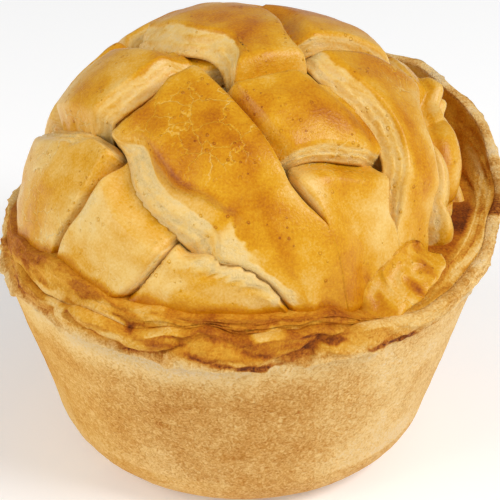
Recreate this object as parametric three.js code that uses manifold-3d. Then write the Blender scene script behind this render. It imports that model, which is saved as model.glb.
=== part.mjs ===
// A single-serving chicken pie: a deep pastry case that leans outwards to a ruffled collar,
// closed by a domed lid of pastry strips woven over and under each other.
// Millimetres, +Z up. The origin is the centre of the flat foot, and -Y is the front.
import * as THREE from "three";
import { mergeVertices } from "three/addons/utils/BufferGeometryUtils.js";
import Module from "manifold-3d";

// Pastry case: a flat foot, a rounded heel and a straight leaning wall.
const FOOT_RADIUS = 23.8;
const HEEL_ROUND = 12.3;
const WALL_LEAN = THREE.MathUtils.degToRad(16.7);
const WALL_TOP = 41;
const CASE_SEGMENTS = 72;
const HEEL_STEPS = 5;
const WALL_STEPS = 4;
const CORE_STEPS = 10;

// Collar: the free edge of the case, low at the front and tall at the back right. A swell changes
// a size by so much at an angle round the pie, in degrees, and eases out a half width away from it.
const COLLAR_TOP = 47.2;
const COLLAR_TOP_SWELLS = [
  { at: 52, half: 88, by: 15 },
  { at: 188, half: 60, by: -3.2 },
  { at: 62, half: 20, by: -1 },
  { at: 27, half: 13, by: 0.9 },
  { at: 6, half: 14, by: -1.6 },
];
const COLLAR_RADIUS = 46;
const COLLAR_RADIUS_SWELLS = [
  { at: 10, half: 90, by: 3.2 },
  { at: 198, half: 55, by: -1.3 },
];
const COLLAR_THICK = 1.9;
const COLLAR_CROWN = 0.5;
const COLLAR_SHARES = [0.35, 0.7, 0.95];
const RUFFLE = 0.6;
const PLEAT = 0.4;
const LEDGE_TOP = 44.6;
const LEDGE_TOP_SWELLS = [
  { at: 272, half: 80, by: 1.2 },
  { at: 180, half: 65, by: -1.5 },
  { at: 60, half: 90, by: 1.2 },
];
const LEDGE_RADIUS = 43.2;
const LEDGE_EDGE = 0.3;

// Lid: a dome over which the strips lie. Its outside is two strips thick over the core.
const LID_RADIUS = 42.5;
const LID_BASE = 44;
const LID_HEIGHT = 40.6;
const SHOULDER = 0.025;
const DOME_SLUMPS = [
  { at: 150, half: 45, by: 0.085 },
  { at: 60, half: 60, by: 0.08 },
];
const LID_REACH = 66.5;
const STRIP_THICK = 4.2;
const GAP = 0.4;
const CORE_DEPTH = 2 * (STRIP_THICK + GAP);
const CORE_RISE = 0.2;
const CORE_ROOM = 0.3;

// Weave, in plan distances from the top of the dome. An A strip is a band of p and a B strip
// a band of q. Each strip has its middle and its width, A from the left and B from the front.
const A_NORMAL = THREE.MathUtils.degToRad(35);
const B_NORMAL = THREE.MathUtils.degToRad(-68);
const A_STRIPS = [
  { middle: -50.8, width: 31.2 },
  { middle: -23.6, width: 22 },
  { middle: -2.9, width: 18.3 },
  { middle: 15.1, width: 16.2 },
  { middle: 33.2, width: 18.6 },
  { middle: 54.6, width: 22.8 },
];
const B_STRIPS = [
  { middle: 24.5, width: 20, to: 19 },
  { middle: -5, width: 22 },
  { middle: -32.3, width: 19.5 },
  { middle: -56, width: 17 },
];
const WEAVE_REACH = 84;
const FRONT_LINES = [38.5, 44, 50, 56, 62, 68];
const CROSS_LINES = [-1, -0.72, 0, 0.72, 1];
const EDGE_LOSS = 0.3;

// How high strips ride: 0 is on the core and 1 is on top of a crossing strip.
const RIM_LEVEL = 0.9;
const LOW_END_LEVEL = 0.8;
const LOBE_LEVEL = 0.3;
const FLAP_SEAT_LEVEL = 0.35;
const GAP_LEVEL = 0.8;
const EDGE_LEVEL = 0.3;
const RISE_LEVEL = 0.45;
const SLIP = 4;
const RISE_RUN = 3;
const DIP_RUN = 5;
const TUCK = 1.2;
const FRONT_START = 1;
const FRONT_RUN = 9;
const SEAT_START = -13;
const SEAT_RUN = 9;
const RIM_START = 64;
const RIM_RUN = 5;
const LOBE_FROM = 4;

// Strips laid by hand bend sideways: by so much at a place across the weave, and either
// from one place to another along it or round one place.
const BENDS = [
  { across: -35, half: 21, from: 38, to: 60, by: 12 },
  { across: -35, half: 13, from: 10, to: 24, by: -3.2 },
  { across: -9, half: 14, from: 36, to: 48, by: 4 },
  { across: 4, half: 24, at: -10, reach: 17, by: 2.8 },
  { across: 4, half: 24, at: 13, reach: 13, by: -2.6 },
  { across: 23, half: 20, from: -84, to: -80, by: 9 },
  { across: 23, half: 20, from: 7, to: 27, by: -7 },
  { across: 8, half: 11, from: 2, to: 32, by: 3.6 },
];
const DRIFTS = [
  { across: -44, half: 28, at: 36, reach: 17, by: 5 },
  { across: -46, half: 26, at: 14, reach: 11, by: 2.5 },
];

// Flap: a leaf of pastry that lies slanting on the strip ends at the front right.
const FLAP_FROM = -7;
const FLAP_TO = 21;
const FLAP_HALF = 5;
const FLAP_MIDDLE = 61.6;
const FLAP_SLANT = -0.6;
const FLAP_THICK = 2.8;
const FLAP_THIN = 0.2;
const FLAP_STEPS = 10;
const FLAP_POINT = 0.12;

const CRUST_COLOUR = "#dcae66";
const GLAZE_COLOUR = "#d9972e";

const wasm = await Module();
wasm.setup();

// Shaping helpers

const { lerp } = THREE.MathUtils;
const smooth = (x) => THREE.MathUtils.smoothstep(x, 0, 1);

// 1 at a centre, easing to 0 a half width away from it.
const bump = (away, half) => 0.5 + 0.5 * Math.cos(Math.PI * Math.min(Math.abs(away) / half, 1));

// The sum of swells at an angle round the pie.
function swellAt(swells, angle) {
  const degrees = THREE.MathUtils.radToDeg(angle);
  return swells.reduce((sum, { at, half, by }) => {
    const away = THREE.MathUtils.euclideanModulo(degrees - at + 180, 360) - 180;
    return sum + by * bump(away, half);
  }, 0);
}

// The sum of bends at a place of the weave.
function bendAt(bends, p, q) {
  return bends.reduce((sum, { across, half, from, to, at, reach, by }) => {
    const share = at === undefined ? smooth((q - from) / (to - from)) : bump(q - at, reach);
    return sum + by * share * bump(p - across, half);
  }, 0);
}

// A closed mesh as a solid that can be cut.
function toSolid(geometry) {
  const bare = geometry.clone();
  bare.deleteAttribute("normal");
  bare.deleteAttribute("uv");
  const merged = mergeVertices(bare, 1e-4);
  return new wasm.Manifold(
    new wasm.Mesh({
      numProp: 3,
      vertProperties: new Float32Array(merged.attributes.position.array),
      triVerts: new Uint32Array(merged.index.array),
    }),
  );
}

function toGeometry(solid) {
  const mesh = solid.getMesh();
  const geometry = new THREE.BufferGeometry();
  geometry.setAttribute("position", new THREE.BufferAttribute(mesh.vertProperties, 3));
  geometry.setIndex(new THREE.BufferAttribute(mesh.triVerts, 1));
  geometry.computeVertexNormals();
  return geometry;
}

// A ring-shaped or solid turning whose profile changes round the axis.
// profileAt(angle) gives the same number of [radius, height] points at every angle.
function turnedGeometry(profileAt, segments) {
  const rows = profileAt(0).map(([radius, height]) => new THREE.Vector2(radius, height));
  const geometry = new THREE.LatheGeometry(rows, segments);
  const position = geometry.attributes.position;
  for (let segment = 0; segment <= segments; segment++) {
    const angle = (2 * Math.PI * (segment % segments)) / segments;
    profileAt(angle).forEach(([radius, height], row) => {
      const index = segment * rows.length + row;
      position.setXYZ(index, radius * Math.cos(angle), radius * Math.sin(angle), height);
    });
  }
  geometry.deleteAttribute("normal");
  return geometry;
}

// Dome of the lid

// A point on the dome at a plan distance and bearing from its top, raised off the core.
function domePoint(distance, bearing, raise) {
  const slump = swellAt(DOME_SLUMPS, bearing);
  const profile = (reach) => {
    const angle = Math.min(reach / LID_REACH, 1) * (Math.PI / 2);
    const fullness = 1 + SHOULDER * Math.sin(2 * angle) ** 2 - slump * Math.sin(angle) ** 2;
    const below = Math.max(reach - LID_REACH, 0);
    return new THREE.Vector2(
      (LID_RADIUS - CORE_DEPTH) * Math.sin(angle) * fullness,
      (LID_HEIGHT - CORE_DEPTH) * Math.cos(angle) * fullness - below,
    );
  };
  const step = 0.01;
  const along = profile(distance + step).sub(profile(distance)).normalize();
  const here = profile(distance).add(new THREE.Vector2(-along.y, along.x).multiplyScalar(raise));
  return new THREE.Vector3(here.x * Math.cos(bearing), here.x * Math.sin(bearing), here.y);
}

// The same by weave coordinates: p counts across the A strips and q across the B strips.
function weavePoint(p, q, raise) {
  const skew = Math.sin(B_NORMAL - A_NORMAL);
  const x = (p * Math.sin(B_NORMAL) - q * Math.sin(A_NORMAL)) / skew;
  const y = (q * Math.cos(A_NORMAL) - p * Math.cos(B_NORMAL)) / skew;
  return domePoint(Math.hypot(x, y), Math.atan2(y, x), raise);
}

// A place of the weave where the strips are bent.
const laidPoint = (p, q, raise) => weavePoint(p + bendAt(BENDS, p, q), q + bendAt(DRIFTS, p, q), raise);

// Pastry case with its collar, solid up to the core under the strips

const collarTop = (angle) =>
  COLLAR_TOP + swellAt(COLLAR_TOP_SWELLS, angle) + RUFFLE * Math.sin(9 * angle + 1) * Math.sin(4 * angle);

const collarRadius = (angle) =>
  COLLAR_RADIUS +
  swellAt(COLLAR_RADIUS_SWELLS, angle) +
  PLEAT * (Math.sin(7 * angle) + Math.sin(17 * angle + 2));

const ledgeTop = (angle) => LEDGE_TOP + swellAt(LEDGE_TOP_SWELLS, angle);

function caseProfile(angle) {
  const points = [[0, 0]];
  for (let step = 0; step <= HEEL_STEPS; step++) {
    const swing = (step / HEEL_STEPS) * (Math.PI / 2 - WALL_LEAN);
    points.push([FOOT_RADIUS + HEEL_ROUND * Math.sin(swing), HEEL_ROUND * (1 - Math.cos(swing))]);
  }
  const [heelRadius, heelTop] = points[points.length - 1];
  for (let step = 1; step <= WALL_STEPS; step++) {
    const height = lerp(heelTop, WALL_TOP, step / WALL_STEPS);
    points.push([heelRadius + (height - heelTop) * Math.tan(WALL_LEAN), height]);
  }
  const wallRadius = points[points.length - 1][0];
  const lipRadius = collarRadius(angle);
  const lipTop = collarTop(angle);
  const ledge = ledgeTop(angle);
  const coreFoot = domePoint(LID_REACH, angle, 0);
  for (const share of COLLAR_SHARES) {
    const spread = Math.sin((share * Math.PI) / 2);
    points.push([lerp(wallRadius, lipRadius, spread), lerp(WALL_TOP, lipTop, share)]);
  }
  points.push([lipRadius - COLLAR_THICK / 2, lipTop + COLLAR_CROWN]);
  const innerRadius = Math.max(lipRadius - COLLAR_THICK, LEDGE_RADIUS + LEDGE_EDGE);
  points.push([innerRadius, lipTop]);
  points.push([(innerRadius + LEDGE_RADIUS) / 2, (lipTop + ledge) / 2]);
  points.push([LEDGE_RADIUS, ledge]);
  points.push([Math.hypot(coreFoot.x, coreFoot.y), ledge]);
  for (let step = 1; step <= CORE_STEPS; step++) {
    const onDome = domePoint(LID_REACH * (1 - step / CORE_STEPS), angle, -CORE_ROOM);
    const height = Math.max(LID_BASE + onDome.z, ledge + CORE_RISE * step);
    points.push([step === CORE_STEPS ? 0 : Math.hypot(onDome.x, onDome.y), height]);
  }
  return points;
}

// Lid strips

// Which strip of a crossing is on top: the weave changes at every crossing.
const aIsOver = (aIndex, bIndex) => (aIndex + bIndex) % 2 === 1;

// Every A strip crosses every B strip, but the front B strip ends tucked under the fourth A strip.
const crosses = (aIndex, bIndex) => bIndex > 0 || aIndex < LOBE_FROM;

const bandsOf = (strips) =>
  strips.map(({ middle, width }) => ({ low: middle - width / 2, high: middle + width / 2, middle, width }));

// How high an A strip rides past the last B strip, towards the front rim.
function frontLevel(aIndex, p) {
  if (aIndex === 0) return LOW_END_LEVEL;
  if (aIndex >= LOBE_FROM) return LOBE_LEVEL;
  return lerp(RIM_LEVEL, FLAP_SEAT_LEVEL, smooth((p - SEAT_START) / SEAT_RUN));
}

// How high an A strip rides at a place along it. It climbs and falls in the gaps between B strips.
function levelOfA(aIndex, p, q) {
  const bands = bandsOf(B_STRIPS)
    .map((band, bIndex) => ({ ...band, level: aIsOver(aIndex, bIndex) ? 1 : 0, bIndex }))
    .filter(({ bIndex }) => crosses(aIndex, bIndex))
    .sort((first, second) => first.low - second.low);
  const held = bands.find(({ low, high }) => q >= low && q <= high);
  if (held) return held.level;
  const before = bands.filter(({ high }) => high < q).pop();
  const after = bands.find(({ low }) => low > q);
  if (!before) return lerp(after.level, RIM_LEVEL, smooth((after.low - q) / SLIP));
  if (!after) {
    const beyond = q - before.high;
    const gapLevel = aIndex < LOBE_FROM ? GAP_LEVEL : LOBE_LEVEL;
    const near = lerp(before.level, gapLevel, smooth(beyond / SLIP));
    return lerp(near, frontLevel(aIndex, p), smooth((beyond - FRONT_START) / FRONT_RUN));
  }
  const rise = before.level ? 1 : smooth((q - before.high) / SLIP);
  const fall = after.level ? 1 : smooth((after.low - q) / SLIP);
  const middleLevel = before.level || after.level ? 1 : GAP_LEVEL;
  return lerp(before.level, lerp(after.level, middleLevel, fall), rise);
}

// How high a B strip rides. The A strips lie side by side, so it dips near their edges.
function levelOfB(bIndex, p) {
  const bands = bandsOf(A_STRIPS);
  const aIndex = bands.findIndex(({ low, high }) => p >= low && p <= high);
  if (aIndex < 0) return lerp(EDGE_LEVEL, RIM_LEVEL, smooth((Math.abs(p) - RIM_START) / RIM_RUN));
  const { middle, width } = bands[aIndex];
  const fromEdge = width / 2 - Math.abs(p - middle);
  if (aIsOver(aIndex, bIndex)) return lerp(EDGE_LEVEL, 0, smooth(fromEdge / TUCK));
  if (p < middle) return lerp(RISE_LEVEL, 1, smooth(fromEdge / RISE_RUN));
  return lerp(EDGE_LEVEL, 1, smooth(fromEdge / DIP_RUN));
}

const underside = (level) => GAP + level * (STRIP_THICK + GAP);
const crown = (across) => STRIP_THICK * (1 - EDGE_LOSS * Math.abs(across) ** 6);

// The A or B strip that holds a place, or -1 between strips.
const stripAt = (strips, place) =>
  strips.findIndex(({ middle, width }) => Math.abs(place - middle) <= width / 2 + 1e-6);

// Heights of the under and upper face of an A strip at (p, q).
function facesOfA(aIndex, p, q) {
  const { middle, width } = A_STRIPS[aIndex];
  const low = underside(levelOfA(aIndex, p, q));
  let high = low + crown((2 * (p - middle)) / width);
  const bIndex = stripAt(B_STRIPS, q);
  if (bIndex >= 0 && crosses(aIndex, bIndex) && !aIsOver(aIndex, bIndex)) {
    high = Math.min(high, underside(levelOfB(bIndex, p)) - GAP);
  }
  return [low, high];
}

// Heights of the under and upper face of a B strip at (p, q).
function facesOfB(bIndex, p, q) {
  const { middle, width } = B_STRIPS[bIndex];
  const low = underside(levelOfB(bIndex, p));
  let high = low + crown((2 * (q - middle)) / width);
  const aIndex = stripAt(A_STRIPS, p);
  if (aIndex >= 0 && crosses(aIndex, bIndex) && aIsOver(aIndex, bIndex)) {
    high = Math.min(high, underside(levelOfA(aIndex, p, q)) - GAP);
  }
  return [low, high];
}

// Lines across one family of strips: the edges and ribs of every strip, the middle of every gap
// and lines beyond the last strip, up to where the crossing strip ends.
function weaveLines(strips, beyond, to) {
  const bands = bandsOf(strips).sort((first, second) => first.low - second.low);
  const lines = [];
  bands.forEach(({ middle, width, high }, index) => {
    CROSS_LINES.forEach((share) => lines.push(middle + (share * width) / 2));
    const next = bands[index + 1];
    if (next && next.low - high > 2) lines.push((high + next.low) / 2);
  });
  lines.unshift(-WEAVE_REACH, (bands[0].low - WEAVE_REACH) / 2);
  lines.push(...beyond);
  return [...lines.filter((line) => line < to - 0.5), to];
}

// A closed slab between two faces. grid[row][column] holds the points of its [upper, under] face.
function slab(grid) {
  const rows = grid.length;
  const columns = grid[0].length;
  const count = rows * columns;
  const vertices = new Float32Array(2 * count * 3);
  grid.flat().forEach(([upper, under], index) => {
    upper.toArray(vertices, 3 * index);
    under.toArray(vertices, 3 * (index + count));
  });
  const faces = [];
  const quad = (a, b, c, d) => faces.push(a, c, b, a, d, c);
  for (let row = 0; row + 1 < rows; row++) {
    for (let column = 0; column + 1 < columns; column++) {
      const corner = row * columns + column;
      quad(corner, corner + columns, corner + columns + 1, corner + 1);
      quad(corner + count, corner + count + 1, corner + count + columns + 1, corner + count + columns);
    }
  }
  const wall = (a, b) => quad(a, b, b + count, a + count);
  for (let column = 0; column + 1 < columns; column++) {
    wall(column, column + 1);
    wall((rows - 1) * columns + column + 1, (rows - 1) * columns + column);
  }
  for (let row = 0; row + 1 < rows; row++) {
    wall((row + 1) * columns, row * columns);
    wall(row * columns + columns - 1, (row + 1) * columns + columns - 1);
  }
  const geometry = new THREE.BufferGeometry();
  geometry.setAttribute("position", new THREE.BufferAttribute(vertices, 3));
  geometry.setIndex(faces);
  return geometry;
}

// Both families use rows of p and columns of q, so that crossing faces are split alike.
// A cover thickens the upper face.
function stripGeometry(family, index, cover) {
  const isA = family === "a";
  const strips = isA ? A_STRIPS : B_STRIPS;
  const { middle, width, to = WEAVE_REACH } = strips[index];
  const ribs = CROSS_LINES.map((share) => middle + (share * width) / 2);
  const rowsOfP = isA ? ribs : weaveLines(A_STRIPS, [], to);
  const columnsOfQ = isA ? weaveLines(B_STRIPS, FRONT_LINES, WEAVE_REACH) : ribs;
  const facesAt = isA ? facesOfA : facesOfB;
  const grid = rowsOfP.map((p) =>
    columnsOfQ.map((q) => {
      const [low, high] = facesAt(index, p, q);
      return [laidPoint(p, q, high + cover), laidPoint(p, q, low)];
    }),
  );
  return slab(grid);
}

// The flap is a leaf, thin along its upper edge and thick along its free lower edge.
function flapGeometry() {
  const seat = underside(FLAP_SEAT_LEVEL) + STRIP_THICK + GAP;
  const grid = [];
  for (let step = 0; step <= FLAP_STEPS; step++) {
    const p = lerp(FLAP_FROM, FLAP_TO, step / FLAP_STEPS);
    const along = (2 * step) / FLAP_STEPS - 1;
    const half = FLAP_HALF * Math.max(FLAP_POINT, Math.sqrt(1 - along ** 2));
    grid.push(
      CROSS_LINES.map((share) => {
        const q = FLAP_MIDDLE + FLAP_SLANT * p + share * half;
        const thick = FLAP_THICK * lerp(FLAP_THIN, 1, smooth((share + 1) / 2));
        return [weavePoint(p, q, seat + thick), weavePoint(p, q, seat)];
      }),
    );
  }
  return slab(grid);
}

// The room above the ledge, which trims every strip round the edge of the lid.
function lidRoom() {
  const wide = 1.5 * LID_RADIUS;
  const tall = 1.5 * LID_HEIGHT;
  const middleFloor = LEDGE_TOP - LID_BASE;
  return toSolid(
    turnedGeometry((angle) => {
      const floor = ledgeTop(angle) + GAP - LID_BASE;
      return [[0, middleFloor], [LID_RADIUS / 2, floor], [wide, floor], [wide, tall], [0, tall]];
    }, CASE_SEGMENTS),
  );
}

function meshOf(name, geometry, colour, roughness) {
  const material = new THREE.MeshStandardMaterial({ color: colour, roughness, metalness: 0 });
  const mesh = new THREE.Mesh(geometry, material);
  mesh.name = name;
  return mesh;
}

const pie = new THREE.Group();
pie.add(meshOf("pastry_case", turnedGeometry(caseProfile, CASE_SEGMENTS), CRUST_COLOUR, 0.75));

const lid = new THREE.Group();
lid.position.z = LID_BASE;
const room = lidRoom();
for (const [family, strips] of [["a", A_STRIPS], ["b", B_STRIPS]]) {
  strips.forEach((strip, index) => {
    const trimmed = toSolid(stripGeometry(family, index, 0)).intersect(room);
    lid.add(meshOf(`lid_strip_${family}${index + 1}`, toGeometry(trimmed), GLAZE_COLOUR, 0.45));
  });
}

// The flap is cut to the strips on which it lies.
let flap = toSolid(flapGeometry()).intersect(room);
A_STRIPS.forEach((strip, index) => {
  flap = flap.subtract(toSolid(stripGeometry("a", index, GAP)));
});
const [leaf] = flap.decompose().sort((first, second) => second.volume() - first.volume());
lid.add(meshOf("lid_flap", toGeometry(leaf), GLAZE_COLOUR, 0.45));
pie.add(lid);

export default pie;
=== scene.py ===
import math
import random

import bmesh
import bpy
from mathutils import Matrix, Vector, noise


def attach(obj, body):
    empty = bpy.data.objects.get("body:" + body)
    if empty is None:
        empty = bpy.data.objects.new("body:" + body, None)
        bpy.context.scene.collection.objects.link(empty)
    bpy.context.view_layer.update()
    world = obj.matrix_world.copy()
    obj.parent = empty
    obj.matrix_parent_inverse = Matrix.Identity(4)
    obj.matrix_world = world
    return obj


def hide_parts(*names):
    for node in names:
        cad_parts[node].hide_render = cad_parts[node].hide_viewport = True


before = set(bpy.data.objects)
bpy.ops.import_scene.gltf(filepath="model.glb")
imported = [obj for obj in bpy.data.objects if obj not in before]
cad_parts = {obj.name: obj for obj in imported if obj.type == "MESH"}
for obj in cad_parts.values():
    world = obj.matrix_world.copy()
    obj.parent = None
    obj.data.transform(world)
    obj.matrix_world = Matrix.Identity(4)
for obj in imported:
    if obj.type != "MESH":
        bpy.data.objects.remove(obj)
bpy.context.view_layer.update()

# Pastry case
# The case is one sheet of short pastry that was pressed into a deep leaning tin and baked in it.
# Its free edge stands above the tin as a ruffled collar, pinched to the lid at the front,
# and its inside is filled up to the underside of the woven strips.
MM = 0.001
FOOT_RADIUS = 23.8
HEEL_ROUND = 12.3
WALL_LEAN = math.radians(16.7)
WALL_TOP = 41.0
HEEL_SWING = math.pi / 2 - WALL_LEAN
HEEL_RADIUS = FOOT_RADIUS + HEEL_ROUND * math.sin(HEEL_SWING)
HEEL_TOP = HEEL_ROUND * (1 - math.cos(HEEL_SWING))
WALL_RADIUS = HEEL_RADIUS + (WALL_TOP - HEEL_TOP) * math.tan(WALL_LEAN)
COLLAR_TOP = 46.8
COLLAR_RISE = 15.0
COLLAR_RADIUS = 45.4
COLLAR_FLARE = 3.2
COLLAR_THICK = 1.9
RING_RADIUS = 45.0
SEAM_TOP = 49.3
LEDGE_TOP = 44.6
LEDGE_RADIUS = 43.2
LID_RADIUS = 42.5
LID_BASE = 44.0
LID_HEIGHT = 40.6
LID_REACH = 66.5
SHOULDER = 0.025
STRIP_THICK = 4.3
STRIP_GAP = 0.3
CORE_DEPTH = 2 * (STRIP_THICK + STRIP_GAP)
CORE_CLIMB = 1.8
CASE_COLUMNS = 560


def mix(a, b, share):
    return a + (b - a) * share


def ease(x):
    x = min(max(x, 0.0), 1.0)
    return x * x * (3 - 2 * x)


def hump(angle, centre, half):
    """1 at one angle round the pie, in degrees, easing to 0 a half width away."""
    away = abs((math.degrees(angle) - centre + 180) % 360 - 180)
    return 0.0 if away >= half else 0.5 + 0.5 * math.cos(math.pi * away / half)


def lump(place, size, seed=0.0):
    """Soft unevenness from -1 to 1, with swells of about this size in millimetres."""
    x, y, z = place
    return noise.noise(Vector((x / size + seed, y / size - seed, z / size + 2 * seed)))


def crag(place, size, seed=0.0):
    """Sharp unevenness from 0 to 1 that peaks along thin ridges."""
    return 1 - min(1.0, 2.2 * abs(lump(place, size, seed)))


def ring_at(angle):
    return (RING_RADIUS * math.cos(angle), RING_RADIUS * math.sin(angle), 0)


def collar_top(angle):
    ruffle = 0.7 * math.sin(9 * angle + 1) * math.sin(4 * angle)
    swells = 0.9 * hump(angle, 27, 13) - hump(angle, 62, 20) - 1.6 * hump(angle, 6, 14)
    return COLLAR_TOP + COLLAR_RISE * hump(angle, 52, 88) - 3.2 * hump(angle, 188, 60) + swells + ruffle


def collar_radius(angle):
    ruffle = 0.4 * math.sin(7 * angle) + 0.4 * math.sin(17 * angle + 2)
    return COLLAR_RADIUS + COLLAR_FLARE * hump(angle, 10, 90) - 1.3 * hump(angle, 198, 55) + ruffle


def ledge_top(angle):
    return LEDGE_TOP + 1.2 * hump(angle, 272, 80) - 1.5 * hump(angle, 180, 65) + 1.2 * hump(angle, 60, 90)


def pinched(angle):
    """1 where the pastry edge is pinched up against the lid, round the front and the left."""
    return min(1.0, 1.5 * hump(angle, 245, 105))


def bared(angle):
    """1 where the edge tore open beside the flap and shows pale dough."""
    return hump(angle, 308, 18)


def rim_front(angle):
    return hump(angle, 262, 95)


def seam_top(angle):
    """Height at which the inside of the pastry edge meets the lid."""
    climb = SEAM_TOP + 2.7 * hump(angle, 222, 18) + hump(angle, 293, 8) - 4.5 * hump(angle, 310, 24)
    climb += 0.8 * lump(ring_at(angle), 6, 6.4)
    return mix(ledge_top(angle) + 5.5 * hump(angle, 350, 55), climb, pinched(angle))


def lip_height(angle):
    ring = ring_at(angle)
    ragged = 1.7 * lump(ring, 9, 3.1) + 0.7 * lump(ring, 3.6, 7.7)
    return collar_top(angle) + mix(0.15, 1, pinched(angle)) * ragged - 1.4 * hump(angle, 312, 22)


def lip_radius(angle):
    return collar_radius(angle) + 0.4 * lump(ring_at(angle), 8, 5.2)


def inner_radius(angle):
    return max(lip_radius(angle) - COLLAR_THICK, LEDGE_RADIUS + 0.3)


def dome_profile(reach, bearing):
    slump = 0.085 * hump(bearing, 150, 45) + 0.08 * hump(bearing, 60, 60)
    angle = min(reach / LID_REACH, 1) * math.pi / 2
    fullness = 1 + SHOULDER * math.sin(2 * angle) ** 2 - slump * math.sin(angle) ** 2
    return (
        (LID_RADIUS - CORE_DEPTH) * math.sin(angle) * fullness,
        LID_BASE + (LID_HEIGHT - CORE_DEPTH) * math.cos(angle) * fullness - max(reach - LID_REACH, 0),
    )


# The pinched edge is rolled and creased: degrees, level, half length, half height, stand and tilt.
roll_random = random.Random(11)
RIM_ROLLS = [
    (
        math.radians(11 * step + roll_random.uniform(-4, 4)),
        (0.3, 0.85, 1.4)[step % 3] + roll_random.uniform(-0.15, 0.15),
        roll_random.uniform(8, 13),
        roll_random.uniform(0.45, 0.75),
        roll_random.uniform(1.1, 2.2),
        roll_random.uniform(-0.5, 0.5),
    )
    for step in range(33)
]


def rim_folds(angle, share):
    """The rolls of the pastry edge: how far they stand out, and how deep in a crease the place is."""
    best = second = 0.0
    for turn, level, length, tall, stand, tilt in RIM_ROLLS:
        along = COLLAR_RADIUS * ((angle - turn + math.pi) % (2 * math.pi) - math.pi) / length
        away = along ** 2 + ((share - level) / tall - tilt * along) ** 2
        if away < 1:
            rise = stand * (1 - away) ** 0.5
            best, second = (rise, best) if rise > best else (best, max(second, rise))
    return best, 1 - ease((best - second) / 0.7)


# Browning of single rolls, seams and burnt tips: degrees, height, half length, half height, tone.
CRIMP_TONES = (
    (206, 51.5, 9, 3, 0.66), (227, 52.5, 5.5, 1.8, 0.64), (220, 50, 2.4, 1.5, 0.42),
    (225, 48.2, 5, 1, 0.46), (229, 47, 5, 0.9, 0.4), (237, 48.2, 3.4, 1.5, 0.34),
    (249, 48.8, 6, 1.1, 0.38), (245, 46.6, 1.6, 0.8, 0.84), (242, 51, 5, 1.2, 0.58),
    (250, 51, 5, 1.2, 0.6), (257, 49.8, 7, 1.2, 0.66), (268, 47.4, 8, 1.2, 0.68),
    (277, 48.2, 2, 0.7, 0.34), (280, 51, 5, 1.4, 0.66), (286, 51.2, 5, 1.3, 0.64),
    (288, 48, 5, 1.3, 0.58), (263, 45.8, 8, 1.5, 0.44), (260, 44.2, 4.6, 0.9, 0.82),
    (274, 42.6, 5.5, 1, 0.84), (266, 43.2, 3, 0.7, 0.78), (294, 44.2, 6, 1.6, 0.42),
    (289, 45.6, 4.5, 0.9, 0.8), (300, 42.6, 3.4, 0.8, 0.74), (307, 41.8, 4.6, 1, 0.84),
    (316, 43, 6, 1.6, 0.3), (246, 44.6, 6, 1.2, 0.36), (191, 45.2, 9, 2.8, 0.66),
    (186, 48, 6, 2, 0.66), (203, 45.6, 4, 1.6, 0.46), (197, 42.8, 8, 1.3, 0.5),
    (224, 44.6, 6, 1.4, 0.26), (218, 47.6, 4, 1.2, 0.56), (240, 44.4, 4, 1.3, 0.28),
    (282, 44, 4, 0.8, 0.74), (253, 45.4, 4, 0.7, 0.72),
)


def crimp_tone(angle, height, bake):
    """Browning of the pastry edge with its own spots, which are longer than they are high."""
    for degrees, level, long, tall, tone in CRIMP_TONES:
        along = RING_RADIUS * math.radians((math.degrees(angle) - degrees + 180) % 360 - 180)
        if abs(along) < 1.6 * long and abs(height - level) < 2.5 * tall + 1:
            along += 0.5 * long * lump((along, 2 * height, degrees), 2.2)
            rise = height - level + 0.08 * along + 0.4 * tall * lump((along, height, degrees), 1.4)
            bake = mix(bake, tone, ease(1.5 - 1.5 * math.hypot(along / long, rise / tall)))
    return bake


def rim_spots(angle):
    return ease(3.2 * lump(ring_at(angle), 4.5, 2.3) - 0.7) * hump(angle, 352, 50)


# Each part of the case's section gives radius, height, browning (with some painted light and shade) and
# glaze from its start to its end.
def foot_part(share, angle):
    return FOOT_RADIUS * share, 0.0, 0.42, 0.0


def heel_part(share, angle):
    swing = share * HEEL_SWING
    radius = FOOT_RADIUS + HEEL_ROUND * math.sin(swing)
    return radius, HEEL_ROUND * (1 - math.cos(swing)), 0.34, 0.3 * hump(angle, 225, 60)


def wall_part(share, angle):
    z = mix(HEEL_TOP, WALL_TOP, share)
    pale = 0.28 * ease((share - 0.72) / 0.28) * hump(angle, 250, 80)
    # Round 318 degrees, on the key light's side, the wall is painted paler as painted light.
    pale += 0.22 * hump(angle, 318, 50) * (1 - 0.7 * ease(share * 4 - 3))
    pale += 0.04 * hump(angle, 205, 45) + 0.07 * hump(angle, 236, 30) * (1 - share)
    pale -= 0.05 * hump(angle, 282, 22)
    bake = 0.35 + 0.09 * math.sin(math.pi * share) - pale
    return HEEL_RADIUS + (z - HEEL_TOP) * math.tan(WALL_LEAN), z, bake, 0.5 * hump(angle, 205, 50)


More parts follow.
